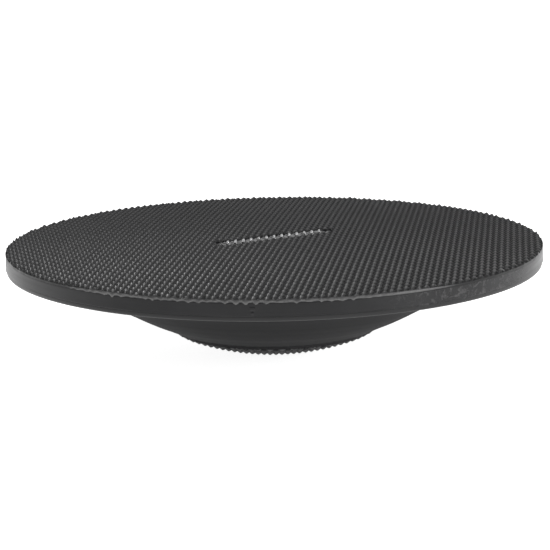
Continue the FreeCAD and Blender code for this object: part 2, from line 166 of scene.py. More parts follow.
class Finishes(bpy.types.PropertyGroup):
    """Colours of the materials."""

    rubber: colour("Rubber", "Moulded rubber", 0.016, 0.016, 0.017)
    # This rubbed colour is real scuffing on the rim band, and also a painted highlight on the stud tips.
    worn_and_highlight: colour("Worn rubber and tip highlight", "Rubber rubbed by shoes, and painted highlight on stud tips", 0.055, 0.054, 0.055)
    flash: colour("Flash", "Thin dusty rubber along the cut edge", 0.080, 0.079, 0.078)
    badge: colour("Badge", "Gloss badge", 0.012, 0.012, 0.013)
    # This pale colour is a painted glint on the badge's bar tops, and a waved print line behind them.
    pale_print_and_glint: colour("Pale print and glint", "Painted glints on the badge's bar tops, and print behind them", 0.42, 0.42, 0.425)
    plywood: colour("Plywood", "Birch plywood", 0.60, 0.43, 0.26)
    glue: colour("Glue line", "Dark glue between the plies", 0.20, 0.11, 0.06)
    plastic: colour("Plastic", "Core plastic", 0.055, 0.055, 0.06)
    steel: colour("Steel", "Black zinc on steel", 0.12, 0.12, 0.125)
    brass: colour("Brass", "Turned brass", 0.72, 0.52, 0.24)


class StageSettings(bpy.types.PropertyGroup):
    """Floor, lights and camera."""

    distance: length("Distance", "Camera to the point it looks at", 1300.0)
    aim_height: length("Aim height", "Height of that point", 56.2)
    aim_side: length("Aim side", "How far right of the axis that point is", 0.25)
    elevation: angle("Elevation", "Camera above level", 11.93)
    roll: angle("Roll", "Camera turned about its own line of sight", -1.03)
    lens: FloatProperty(name="Lens", description="Focal length", default=112.88, min=10, unit="CAMERA")
    floor: colour("Floor", "Pale floor", 0.9, 0.9, 0.9)
    floor_glow: number("Floor glow", "Light that the floor gives of itself", 0.90)
    sky: number("Sky", "Light from all round", 0.46)


GROUPS = {
    "dome_studs": StudSizes,
    "dome_deck": DeckSizes,
    "dome_rim": RimSizes,
    "dome_base": DomeSizes,
    "dome_finish": Finishes,
    "dome_stage": StageSettings,
}


# Shapes ------------------------------------------------------------------------------------------


class Surface:
    """Points and faces of one piece, gathered as arrays. Rings of points run anticlockwise seen from
    above, and a profile runs from the top's middle outward, down and back inward."""

    def __init__(self):
        self.points = []
        self.faces = []
        self.values = []
        self.count = 0

    def add(self, x, y, z, value=0.0):
        """Adds points given as arrays of one shape, and returns their numbers in that shape."""
        x, y, z, value = np.broadcast_arrays(x, y, z, value)
        self.points.append(np.stack([x.ravel(), y.ravel(), z.ravel()], axis=1))
        self.values.append(value.ravel())
        numbers = self.count + np.arange(x.size).reshape(x.shape)
        self.count += x.size
        return numbers

    def rings(self, grid, inward=False, skip=None):
        """Four-sided faces between each ring of the grid and the next, closed round. Where skip is
        true, there is no face."""
        a, b = grid[:-1], np.roll(grid[:-1], -1, axis=1)
        d, c = grid[1:], np.roll(grid[1:], -1, axis=1)
        quads = np.stack([a, b, c, d] if inward else [a, d, c, b], axis=-1)
        quads = quads.reshape(-1, 4) if skip is None else quads[~skip]
        self.faces.append(quads)

    def fan(self, ring, z, downward=False, centre=(0.0, 0.0)):
        """Closes a ring with triangles to its middle."""
        middle = np.broadcast_to(self.add(np.array([centre[0]]), centre[1], z), ring.shape)
        after = np.roll(ring, -1)
        self.faces.append(np.stack([middle, after, ring] if downward else [middle, ring, after], axis=-1))

    def crease_feet(self, mesh):
        """Makes the edges between points of value 0 sharp: the outlines of the studs' feet."""
        ends = np.empty(2 * len(mesh.edges), np.int32)
        mesh.edges.foreach_get("vertices", ends)
        foot = (np.concatenate(self.values)[ends.reshape(-1, 2)] < 0.01).all(axis=1)
        sharp = np.empty(len(mesh.edges), bool)
        mesh.edges.foreach_get("use_edge_sharp", sharp)
        mesh.edges.foreach_set("use_edge_sharp", sharp | foot)

    def make(self, name, material, sharp=35.0, flip=False, attribute=None, feet=False):
        """Puts the points and faces into a new object."""
        points = np.concatenate(self.points)
        faces = [f[:, ::-1] if flip else f for f in self.faces]
        corners = np.concatenate([f.ravel() for f in faces])
        sizes = np.concatenate([np.full(len(f), f.shape[1]) for f in faces])
        mesh = bpy.data.meshes.new(name)
        mesh.vertices.add(len(points))
        mesh.vertices.foreach_set("co", points.astype(np.float32).ravel())
        mesh.loops.add(len(corners))
        mesh.loops.foreach_set("vertex_index", corners.astype(np.int32))
        mesh.polygons.add(len(sizes))
        mesh.polygons.foreach_set("loop_start", (np.cumsum(sizes) - sizes).astype(np.int32))
        mesh.update(calc_edges=True)
        mesh.polygons.foreach_set("use_smooth", np.ones(len(sizes), bool))
        mesh.set_sharp_from_angle(angle=math.radians(sharp))
        if feet:
            self.crease_feet(mesh)
        if attribute:
            values = np.concatenate(self.values).astype(np.float32)
            mesh.attributes.new(attribute, "FLOAT", "POINT").data.foreach_set("value", values)
        piece = bpy.data.objects.new(name, mesh)
        bpy.context.scene.collection.objects.link(piece)
        piece.data.materials.append(material)
        return piece


def rounded_path(corners, steps=6):
    """A line through the corners as (radius, height) rows. Each corner is (radius, height, rounding): the
    rounding is how far before and after the corner a quadratic curve takes over from the straights."""
    corners = np.array(corners, float)
    place, cut = corners[:, :2], corners[:, 2]
    t = np.linspace(0, 1, steps)[:, None]
    out = [place[:1]]
    for i in range(1, len(place) - 1):
        if cut[i] == 0:
            out.append(place[i : i + 1])
            continue
        back = place[i - 1] - place[i]
        on = place[i + 1] - place[i]
        start = place[i] + back / np.linalg.norm(back) * cut[i]
        end = place[i] + on / np.linalg.norm(on) * cut[i]
        out.append((1 - t) ** 2 * start + 2 * t * (1 - t) * place[i] + t**2 * end)
    out.append(place[-1:])
    return np.concatenate(out)


def filled_path(path, spacing):
    """The same line with points added, so that none are further apart than the spacing."""
    steps = np.linalg.norm(np.diff(path, axis=0), axis=1)
    along = np.concatenate([[0], np.cumsum(steps)])
    wanted = []
    for a, b in zip(along, along[1:]):
        count = max(2, int(math.ceil((b - a) / spacing)) + 1)
        wanted.append(np.linspace(a, b, count)[:-1])
    wanted = np.concatenate(wanted + [along[-1:]])
    return np.stack([np.interp(wanted, along, path[:, 0]), np.interp(wanted, along, path[:, 1])], axis=1)


def stud_rise(x, y, studs):
    """Height of the studs at plan places x, y: on a square lattice, a straight fall from a blunt tip to
    the shoulder and from there to the foot, by the larger of the two distances from the stud's middle."""
    across, along = math.cos(studs.turn), math.sin(studs.turn)
    u = (x * across + y * along) / studs.pitch
    v = (y * across - x * along) / studs.pitch
    away = np.maximum(np.abs(u - np.round(u)), np.abs(v - np.round(v)))
    rise = np.interp(away, [0, studs.shoulder, studs.foot], [1.0, studs.shoulder_height, 0.0])
    return rise * studs.height


def stud_lines(reach, studs):
    """Grid lines of the lattice in pitches: five for each stud, at its tip, shoulders and feet."""
    stops = np.array([-studs.foot, -studs.shoulder, 0.0, studs.shoulder, studs.foot])
    count = int(math.ceil(reach / studs.pitch)) + 1
    return (np.arange(-count, count + 1)[:, None] + stops).ravel()


def circle_limit(radius, margin):
    """A limit for studded_plan: places beyond the circle, and those places moved onto it."""

    def limit(x, y):
        away = np.hypot(x, y)
        scale = radius / np.maximum(away, radius * 0.1)
        return away > radius - margin, x * scale, y * scale

    return limit


def stadium_limit(size, width, turn, margin):
    """A limit for studded_plan: places inside a rounded slot, and those places moved onto its outline."""

    def limit(x, y):
        across, along = math.cos(turn), math.sin(turn)
        s = x * across + y * along
        t = y * across - x * along
        half = (size - width) / 2
        near = np.clip(s, -half, half)
        away = np.maximum(np.hypot(s - near, t), width * 0.01)
        s2 = near + (s - near) / away * width / 2
        t2 = t / away * width / 2
        return away < width / 2 + margin, s2 * across - t2 * along, s2 * along + t2 * across

    return limit


def studded_plan(radius, studs, limits):
    """Plan of a studded sheet: a grid on the lattice's own lines, without the squares that lie wholly
    beyond a limit. Corners beyond a limit are moved onto it, so the sheet is cut clean through its studs.
    Squares are split along the studs' ridges. Gives x, y and triangles."""
    lines = stud_lines(radius, studs)
    u, v = np.meshgrid(lines, lines, indexing="ij")
    across, along = math.cos(studs.turn), math.sin(studs.turn)
    x = (u * across - v * along) * studs.pitch
    y = (u * along + v * across) * studs.pitch
    kept = np.ones((len(lines) - 1, len(lines) - 1), bool)
    for limit in limits:
        beyond, x2, y2 = limit(x, y)
        kept &= ~(beyond[:-1, :-1] & beyond[1:, :-1] & beyond[1:, 1:] & beyond[:-1, 1:])
        x, y = np.where(beyond, x2, x), np.where(beyond, y2, y)
    numbers = np.arange(x.size).reshape(x.shape)
    a, b = numbers[:-1, :-1][kept], numbers[1:, :-1][kept]
    c, d = numbers[1:, 1:][kept], numbers[:-1, 1:][kept]
    middle = (lines[:-1] + lines[1:]) / 2
    side = middle - np.round(middle)
    rising = (side[:, None] * side[None, :] > 0)[kept]
    first = np.where(rising[:, None], np.stack([a, b, c], 1), np.stack([a, b, d], 1))
    second = np.where(rising[:, None], np.stack([a, c, d], 1), np.stack([b, c, d], 1))
    faces = np.concatenate([first, second])
    used, faces = np.unique(faces, return_inverse=True)
    return x.ravel()[used], y.ravel()[used], faces.reshape(-1, 3)


def open_edge(faces, count):
    """Numbers of the points on the open edges of a sheet of triangles."""
    start = faces.ravel()
    end = np.roll(faces, -1, axis=1).ravel()
    lonely = ~np.isin(start.astype(np.int64) * count + end, end.astype(np.int64) * count + start)
    return np.unique(start[lonely])


def turn_order(numbers, x, y, centre):
    """The numbers in order round a centre, anticlockwise."""
    return numbers[np.argsort(np.arctan2(y[numbers] - centre[1], x[numbers] - centre[0]))]


def ripple(theta, waves, seed):
    """A smooth uneven line round the rim, from about -1 to 1: a sum of sines of unlike counts."""
    draw = np.random.default_rng(seed)
    counts = draw.integers(waves[0], waves[1], 14)
    phases = draw.uniform(0, 2 * math.pi, 14)
    return np.sin(theta[..., None] * counts + phases).sum(-1) / 4.0


def near_angle(theta, middle, width):
    """A smooth hump, 1 at the middle angle and 0 beyond the width on each side."""
    away = np.abs((theta - middle + math.pi) % (2 * math.pi) - math.pi) / width
    return np.where(away < 1, 0.5 + 0.5 * np.cos(np.minimum(away, 1) * math.pi), 0.0)


# Materials ---------------------------------------------------------------------------------------


class Recipe:
    """A new node material and short ways to add to it."""

    def __init__(self, name):
        self.material = bpy.data.materials.new(name)
        self.material.use_nodes = True
        self.tree = self.material.node_tree
        self.shader = self.tree.nodes["Principled BSDF"]
        self.place = self.node("ShaderNodeTexCoord").outputs["Object"]

    def node(self, kind, inputs=None, **settings):
        """A node with its settings and its inputs, which are values or other nodes' outputs."""
        made = self.tree.nodes.new(kind)
        for key, value in settings.items():
            setattr(made, key, value)
        for key, value in (inputs or {}).items():
            self.feed(made.inputs[key], value)
        return made

    def feed(self, socket, value):
        """Sets a socket, or links an output to it."""
        if isinstance(value, bpy.types.NodeSocket):
            self.tree.links.new(value, socket)
        else:
            socket.default_value = value

    def noise(self, scale, detail=3.0, roughness=0.55, distortion=0.0):
        """Noise with features of about 1/scale metres."""
        inputs = {"Vector": self.place, "Scale": scale, "Detail": detail}
        inputs.update({"Roughness": roughness, "Distortion": distortion})
        return self.node("ShaderNodeTexNoise", inputs).outputs["Fac"]

    def stretched_noise(self, stretch, **inputs):
        """Noise drawn out along an axis: the stretch is how often it changes in a metre of X, Y and Z."""
        place = self.node("ShaderNodeMapping", {"Vector": self.place, "Scale": stretch}).outputs["Vector"]
        inputs.update({"Vector": place, "Scale": 1.0})
        return self.node("ShaderNodeTexNoise", inputs).outputs["Fac"]

    def vector(self, operation, a, b, output="Value"):
        """One sum with vectors."""
        return self.node("ShaderNodeVectorMath", {0: a, 1: b}, operation=operation).outputs[output]

    def height(self):
        """Height of the place above the floor."""
        return self.node("ShaderNodeSeparateXYZ", {"Vector": self.place}).outputs["Z"]

    def ramp(self, value, low, high, to_low=0.0, to_high=1.0):
        """The value from low..high carried to to_low..to_high."""
        inputs = {"Value": value, "From Min": low, "From Max": high, "To Min": to_low, "To Max": to_high}
        return self.node("ShaderNodeMapRange", inputs, interpolation_type="SMOOTHSTEP").outputs["Result"]

    def math(self, operation, a, b=0.0):
        """One sum."""
        return self.node("ShaderNodeMath", {0: a, 1: b}, operation=operation).outputs[0]

    def blend(self, factor, a, b):
        """One colour turning into the other."""
        made = self.node("ShaderNodeMix", data_type="RGBA")
        self.feed(made.inputs["Factor"], factor)
        for name, value in (("A", a), ("B", b)):
            socket = next(s for s in made.inputs if s.name == name and s.type == "RGBA")
            self.feed(socket, value)
        return next(s for s in made.outputs if s.type == "RGBA")

    def bump(self, height, strength, distance, under=None):
        """Raises the surface by the height."""
        inputs = {"Height": height, "Strength": strength, "Distance": distance}
        if under is not None:
            inputs["Normal"] = under
        return self.node("ShaderNodeBump", inputs).outputs["Normal"]

    def set(self, **values):
        """Sets the shader's sockets by name, with spaces for underscores, and gives the material."""
        for key, value in values.items():
            self.feed(self.shader.inputs[key.replace("_", " ")], value)
        return self.material


def full(rgb, scale=1.0):
    """A colour with its alpha."""
    return (rgb[0] * scale, rgb[1] * scale, rgb[2] * scale, 1.0)


def studded_rubber(name, colours, sheen):
    """Moulded rubber with painted shade in the valleys, and paler and smoother on the tips of its studs,
    which are rubbed by shoes and whose paler colour is also a painted highlight. The attribute stud_rise is
    0 at a stud's foot and 1 at its tip, and above 1 on the flash, which is dusty."""
    m = Recipe(name)
    rise = m.node("ShaderNodeAttribute", attribute_name="stud_rise").outputs["Fac"]
    broad = m.noise(9.0, 2.0)
    fine = m.noise(420.0, 3.0)
    tip = m.ramp(rise, 0.45, 1.0)
    # Tips paler in patches: rubbed by shoes, and also a painted highlight on the stud tips.
    wear_and_highlight = m.math("MULTIPLY", tip, m.ramp(broad, 0.3, 0.75, 0.25, 1.0))
    base = m.blend(m.ramp(fine, 0.3, 0.7), full(colours.rubber, 0.8), full(colours.rubber, 1.2))
    # Painted shade: the valleys are darkened towards a fifth of the rubber's colour.
    base = m.blend(m.ramp(rise, 0.2, 0.7, 0.65, 0.0), base, full(colours.rubber, 0.2))
    base = m.blend(m.math("MULTIPLY", wear_and_highlight, 0.8), base, full(colours.worn_and_highlight))
    dust = m.math("MULTIPLY", m.ramp(rise, 1.1, 1.9), m.ramp(fine, 0.3, 0.6))
    base = m.blend(dust, base, full(colours.flash))
    rough = m.ramp(m.noise(160.0, 2.0), 0.3, 0.7, 0.34, 0.46)
    rough = m.math("SUBTRACT", rough, m.math("MULTIPLY", wear_and_highlight, 0.06))
    grain = m.bump(m.noise(1500.0, 2.0), 0.12, 0.0004)
    gloss = m.ramp(rise, 0.3, 0.9, sheen * 0.4, sheen * 1.3)
    return m.set(Base_Color=base, Roughness=rough, Normal=grain, Specular_IOR_Level=gloss)


def satin_rubber(name, colours, rim):
    """Smooth moulded rubber with faint flow lines along the rim, and scuffs on one stretch of it."""
    m = Recipe(name)
    cloud = m.noise(22.0, 3.0)
    flow = m.stretched_noise((14.0, 14.0, 700.0), Detail=2.0)
    across, along = math.cos(rim.scuff_angle), math.sin(rim.scuff_angle)
    away = m.vector("DISTANCE", m.place, (rim.radius * across, rim.radius * along, rim.scuff_height))
    marks = m.ramp(m.noise(150.0, 6.0, 0.7, distortion=1.2), 0.50, 0.64)
    scuff = m.math("MULTIPLY", marks, m.ramp(away, 0.090, 0.02))
    base = m.blend(m.ramp(cloud, 0.3, 0.7), full(colours.rubber, 0.7), full(colours.rubber, 0.9))
    base = m.blend(scuff, base, full(colours.worn_and_highlight, 1.2))
    rough = m.ramp(flow, 0.3, 0.7, 0.30, 0.38)
    rough = m.math("ADD", rough, m.math("MULTIPLY", scuff, 0.15))
    skin = m.bump(m.noise(900.0, 2.0), 0.06, 0.0003)
    skin = m.bump(flow, 0.10, 0.0003, skin)
    skin = m.bump(scuff, 0.5, 0.0006, skin)
    return m.set(Base_Color=base, Roughness=rough, Normal=skin, Specular_IOR_Level=0.25)


def turned_rubber(name, colours):
    """Matt rubber from a turned mould: faint rings about the axis, and a satin lip at the outer edge. Its
    colour is the rubber darkened to about half, as painted shade on the underside.
    """
    m = Recipe(name)
    flat = m.vector("MULTIPLY", m.place, (1.0, 1.0, 0.0), "Vector")
    radius = m.node("ShaderNodeVectorMath", {0: flat}, operation="LENGTH").outputs["Value"]
    inputs = {"W": m.math("MULTIPLY", radius, 420.0), "Scale": 1.0, "Detail": 3.0}
    rings = m.node("ShaderNodeTexNoise", inputs, noise_dimensions="1D").outputs["Fac"]
    lip = m.ramp(radius, 0.160, 0.190)
    cloud = m.ramp(m.noise(18.0, 3.0), 0.3, 0.7)
    # Painted shade: the rubber's colour is darkened to about half here, for the underside.
    base = m.blend(cloud, full(colours.rubber, 0.45), full(colours.rubber, 0.6))
    rough = m.math("SUBTRACT", m.ramp(rings, 0.3, 0.7, 0.60, 0.72), m.math("MULTIPLY", lip, 0.22))
    gloss = m.math("ADD", m.math("MULTIPLY", lip, 0.28), m.ramp(rings, 0.35, 0.7, 0.04, 0.09))
    skin = m.bump(m.noise(900.0, 2.0), 0.06, 0.0003)
    skin = m.bump(rings, 0.12, 0.0004, skin)
    return m.set(Base_Color=base, Roughness=rough, Normal=skin, Specular_IOR_Level=gloss)


def gloss_badge(name, colours, turn):
    """Polished moulding with a little orange peel, with painted glints, pale and uneven, on the tops of its
    bars, and a pale print in a waved line behind them: a sine along the badge, on a line 4.9 mm from its
    middle."""
    m = Recipe(name)
    # Painted glint: the crowned tops of the bars are coloured pale, in patches.
    edge = BADGE_HIGH.z - 0.9 * MM
    patchy = m.ramp(m.noise(420.0, 3.0), 0.36, 0.50)
    tops = m.math("MULTIPLY", m.ramp(m.height(), edge, edge + 0.4 * MM), patchy)
    c, w = math.cos(turn), math.sin(turn)
    s = m.vector("DOT_PRODUCT", m.place, (c, w, 0.0))
    t = m.vector("DOT_PRODUCT", m.place, (-w, c, 0.0))
    wave = m.math("MULTIPLY", m.math("SINE", m.math("MULTIPLY", s, 950.0)), 1.1 * MM)
    away = m.math("ABSOLUTE", m.math("SUBTRACT", m.math("SUBTRACT", t, 4.9 * MM), wave))
    within = m.ramp(m.math("ABSOLUTE", s), 42 * MM, 40 * MM)
    line = m.math("MULTIPLY", m.ramp(away, 1.4 * MM, 0.7 * MM), within)
    # The painted glints on the bar tops, joined with the waved print line.
    print_and_glint = m.math("MAXIMUM", tops, line)
    base = m.blend(m.noise(300.0, 2.0), full(colours.badge, 0.8), full(colours.badge, 1.3))
    base = m.blend(print_and_glint, base, full(colours.pale_print_and_glint))
    rough = m.ramp(m.noise(500.0, 3.0), 0.3, 0.7, 0.14, 0.24)
    peel = m.bump(m.noise(700.0, 1.0), 0.05, 0.0003)
    return m.set(Base_Color=base, Roughness=rough, Normal=peel, Coat_Weight=0.6, Coat_Roughness=0.08)


def birch_plywood(name, colours):
    """Birch plywood: long grain on the faces and dark glue lines between the plies at the edge."""
    m = Recipe(name)
    grain = m.stretched_noise((6.0, 110.0, 30.0), Detail=6.0, Distortion=0.6)
    ply_thickness = (PLATE_HIGH.z - PLATE_LOW.z) / 5
    ply = m.math("FRACT", m.math("DIVIDE", m.math("SUBTRACT", m.height(), PLATE_LOW.z), ply_thickness))
    glue = m.ramp(m.math("ABSOLUTE", m.math("SUBTRACT", ply, 0.5)), 0.40, 0.5)
    base = m.blend(m.ramp(grain, 0.3, 0.7), full(colours.plywood, 0.75), full(colours.plywood))
    base = m.blend(m.math("MULTIPLY", glue, 0.7), base, full(colours.glue))
    rough = m.ramp(grain, 0.3, 0.7, 0.5, 0.7)
    return m.set(Base_Color=base, Roughness=rough, Normal=m.bump(grain, 0.2, 0.0004))


def moulded_plastic(name, colours):
    """Matt moulded plastic with a spark-eroded texture."""
    m = Recipe(name)
    grain = m.noise(900.0, 2.0)
    base = m.blend(m.noise(30.0), full(colours.plastic, 0.85), full(colours.plastic, 1.2))
    rough = m.ramp(grain, 0.3, 0.7, 0.5, 0.65)
    return m.set(Base_Color=base, Roughness=rough, Normal=m.bump(grain, 0.2, 0.0003))


def metal(name, rgb, low, high):
    """Metal with a fine grain in its roughness, between low and high, and slightly uneven colour."""
    m = Recipe(name)
    grain = m.noise(1200.0, 3.0)
    base = m.blend(m.noise(250.0), full(rgb, 0.8), full(rgb, 1.15))
    rough = m.ramp(grain, 0.3, 0.7, low, high)
    return m.set(Base_Color=base, Metallic=1.0, Roughness=rough, Normal=m.bump(grain, 0.1, 0.0002))


# Pieces ------------------------------------------------------------------------------------------


def badge_place(s, t, deck):
    """Places along and across the badge, from its middle, in the frame's x and y."""
    c, w = math.cos(deck.badge_turn), math.sin(deck.badge_turn)
    return s * c - t * w, s * w + t * c


def settle(piece, slot, *nodes):
    """Joins a finished piece to the frame."""
    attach(piece, "root")
    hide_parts(*nodes)


def dress(material, *nodes):
    """Gives CAD nodes a material."""
    for node in nodes:
        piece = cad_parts[node]
        piece.data.materials.clear()
        piece.data.materials.append(material)


class BuildDeckMat(bpy.types.Operator):
    """Studded mat, cut through its studs at the rim, with a thin uneven flash and the badge's recess"""

    bl_idname = "balance_dome.deck_mat"
    bl_label = "Deck mat"

    def execute(self, context):
        """The studs stand on a crowned valley, which lies lower than its middle by the crown times the
        square of the radius over the mat's own radius. The cut studs at the rim are lowered unevenly."""
        studs, deck, rim = context.scene.dome_studs, context.scene.dome_deck, context.scene.dome_rim
        limits = [
            circle_limit(deck.radius, CUT_MARGIN),
            stadium_limit(deck.badge_length, deck.badge_width, deck.badge_turn, CUT_MARGIN),
        ]
        x, y, faces = studded_plan(deck.radius, studs, limits)
        rise = stud_rise(x, y, studs)
        theta = np.arctan2(y, x)
        near_rim = np.clip((np.hypot(x, y) - deck.radius + 3.0 * MM) / (2.0 * MM), 0, 1)
        uneven = 0.5 + 0.5 * np.clip(ripple(theta, (90, 400), 21), -1, 1)
        rise = rise * (1 - deck.ragged * near_rim * uneven)
        valley = deck.top - studs.height
        mat = Surface()
        fall = deck.crown * (x**2 + y**2) / deck.radius**2
        mat.add(x, y, valley - fall + rise, rise / studs.height)
        mat.faces.append(faces)
        edge = open_edge(faces, len(x))
        outside = np.hypot(x[edge], y[edge]) > deck.radius - 1.0 * MM
        self.rim(mat, turn_order(edge[outside], x, y, (0, 0)), x, y, valley - deck.crown, deck, rim)
        hole = turn_order(edge[~outside], x, y, (0, 0))
        floor = mat.add(x[hole], y[hole], deck.top - deck.recess)
        mat.rings(np.stack([hole, floor]), inward=True)
        mat.fan(floor, deck.top - deck.recess)
        material = studded_rubber("studded rubber", context.scene.dome_finish, 0.5)
        piece = mat.make("deck_mat_studs", material, sharp=65, attribute="stud_rise", feet=True)
        settle(piece, "deck_rubber", "deck_mat")
        return {"FINISHED"}

    def rim(self, mat, ring, x, y, valley, deck, rim):
        """The mat's edge: a thin flash from the valley's level, standing out by its reach and hanging
        down unevenly over a plain wall. Both follow a sum of sines round the rim. They are fullest near
        the flash angle, and along one stretch they even out into a rolled line."""
        theta = np.arctan2(y[ring], x[ring])
        rolled = near_angle(theta, rim.rolled_angle, 0.30)
        present = np.clip(3 * near_angle(theta, deck.flash_angle, 0.9), 0.15, 1)
        reach = np.clip(0.45 + 0.55 * ripple(theta, (60, 330), 11), 0.1, 1.0)
        reach = deck.flash * present * (reach + (0.9 - reach) * rolled)
        hang = 0.62 + 0.5 * ripple(theta, (130, 240), 5) + 0.2 * ripple(theta, (15, 60), 6)
        hang = np.clip(hang, 0.25, 1.2)
        hang = deck.droop * present * (hang + (0.5 - hang) * rolled)
        steps = np.array([[0.1, 0.0], [0.7, 0.2], [1.0, 0.65], [0.9, 1.0], [0.1, 0.9]])
        out = deck.radius + 0.1 * MM + steps[:, :1] * reach
        low = valley + 0.9 * MM * present - steps[:, 1:] * hang
        dusty = np.array([[0.9], [1.2], [1.6], [2.0], [2.0]]) * present
        wall = mat.add(out * np.cos(theta), out * np.sin(theta), low, dusty)
        foot = mat.add(deck.radius * np.cos(theta), deck.radius * np.sin(theta), deck.bottom)
        mat.rings(np.concatenate([ring[None], wall, foot[None]]))
        mat.fan(foot, deck.bottom, downward=True)


class BuildRimBand(bpy.types.Operator):
    """Upper shell: the smooth side band with the moulding gate's mark, over the joint line"""

    bl_idname = "balance_dome.rim_band"
    bl_label = "Rim band"

    def execute(self, context):
        rim = context.scene.dome_rim
        top, low = BAND_HIGH.z, BAND_LOW.z
        edge = low + rim.joint_height
        narrow = rim.radius - rim.draft
        inside = rim.radius - rim.wall
        tongue = rim.radius - rim.joint_depth
        face = rounded_path([
            (0.9 * narrow, top, 0),
            (narrow, top, 0.25 * MM),
            (rim.radius, edge, 0.3 * MM),
            (tongue, edge, 0),
            (tongue, low, 0),
            (inside, low, 0),
            (inside, top - rim.skin, 0.5 * MM),
            (0.9 * inside, top - rim.skin, 0),
        ])
        outer = face[:, 0] > narrow - 0.3 * MM
        start, end = np.flatnonzero(outer)[[0, -1]]
        filled = filled_path(face[start : end + 1], 0.35 * MM)
        path = np.concatenate([face[:start], filled, face[end + 1 :]])
        fine = rim.gate_angle + np.linspace(-3.2, 3.2, 40) * MM / rim.radius
        theta = np.unique(np.concatenate([np.linspace(-math.pi, math.pi, 720, endpoint=False), fine]))
        t, z = np.meshgrid(theta, path[:, 1])
        r = np.broadcast_to(path[:, :1], t.shape) + self.marks(t, z, rim, path[:, :1])
        band = Surface()
        grid = band.add(r * np.cos(t), r * np.sin(t), z)
        band.rings(grid)
        band.fan(grid[0], top)
        band.fan(grid[-1], top - rim.skin, downward=True)
        material = satin_rubber("satin rubber", context.scene.dome_finish, rim)
        piece = band.make("rim_band", material, sharp=40)
        settle(piece, "shell_rubber", "upper_shell")
        return {"FINISHED"}

    def marks(self, t, z, rim, r):
        """How far the face stands out at angle t and height z: a small raised pad and a round nub under
        it where the moulding gate was, and a slow unevenness. The joint line's groove is filled up to
        0.05 mm below the band where the joint is pressed shut."""
        face = np.clip((r - (rim.radius - rim.draft - 0.2 * MM)) / (0.3 * MM), 0, 1)
        s = (t - rim.gate_angle) * rim.radius
        pad = soft_box(s / (2.0 * MM)) * soft_box((z - rim.gate_pad) / (1.3 * MM)) * 0.2 * MM
        nub = np.clip(1 - np.hypot(s, z - rim.gate_nub) / (1.1 * MM), 0, 1) ** 0.5 * 0.3 * MM
        slow = 0.06 * MM * ripple(t, (5, 40), 3)
        groove = np.abs(r - rim.radius + rim.joint_depth) < 0.01 * MM
        closed = np.clip(2 * near_angle(t, rim.closed_angle, 1.1), 0, 1) * groove
        return face * (pad + nub + slow) + (rim.joint_depth - 0.05 * MM) * closed


def soft_box(x):
    """1 inside -1..1, falling to 0 over a short way at each end."""
    return np.clip((1 - np.abs(x)) / 0.4, 0, 1)


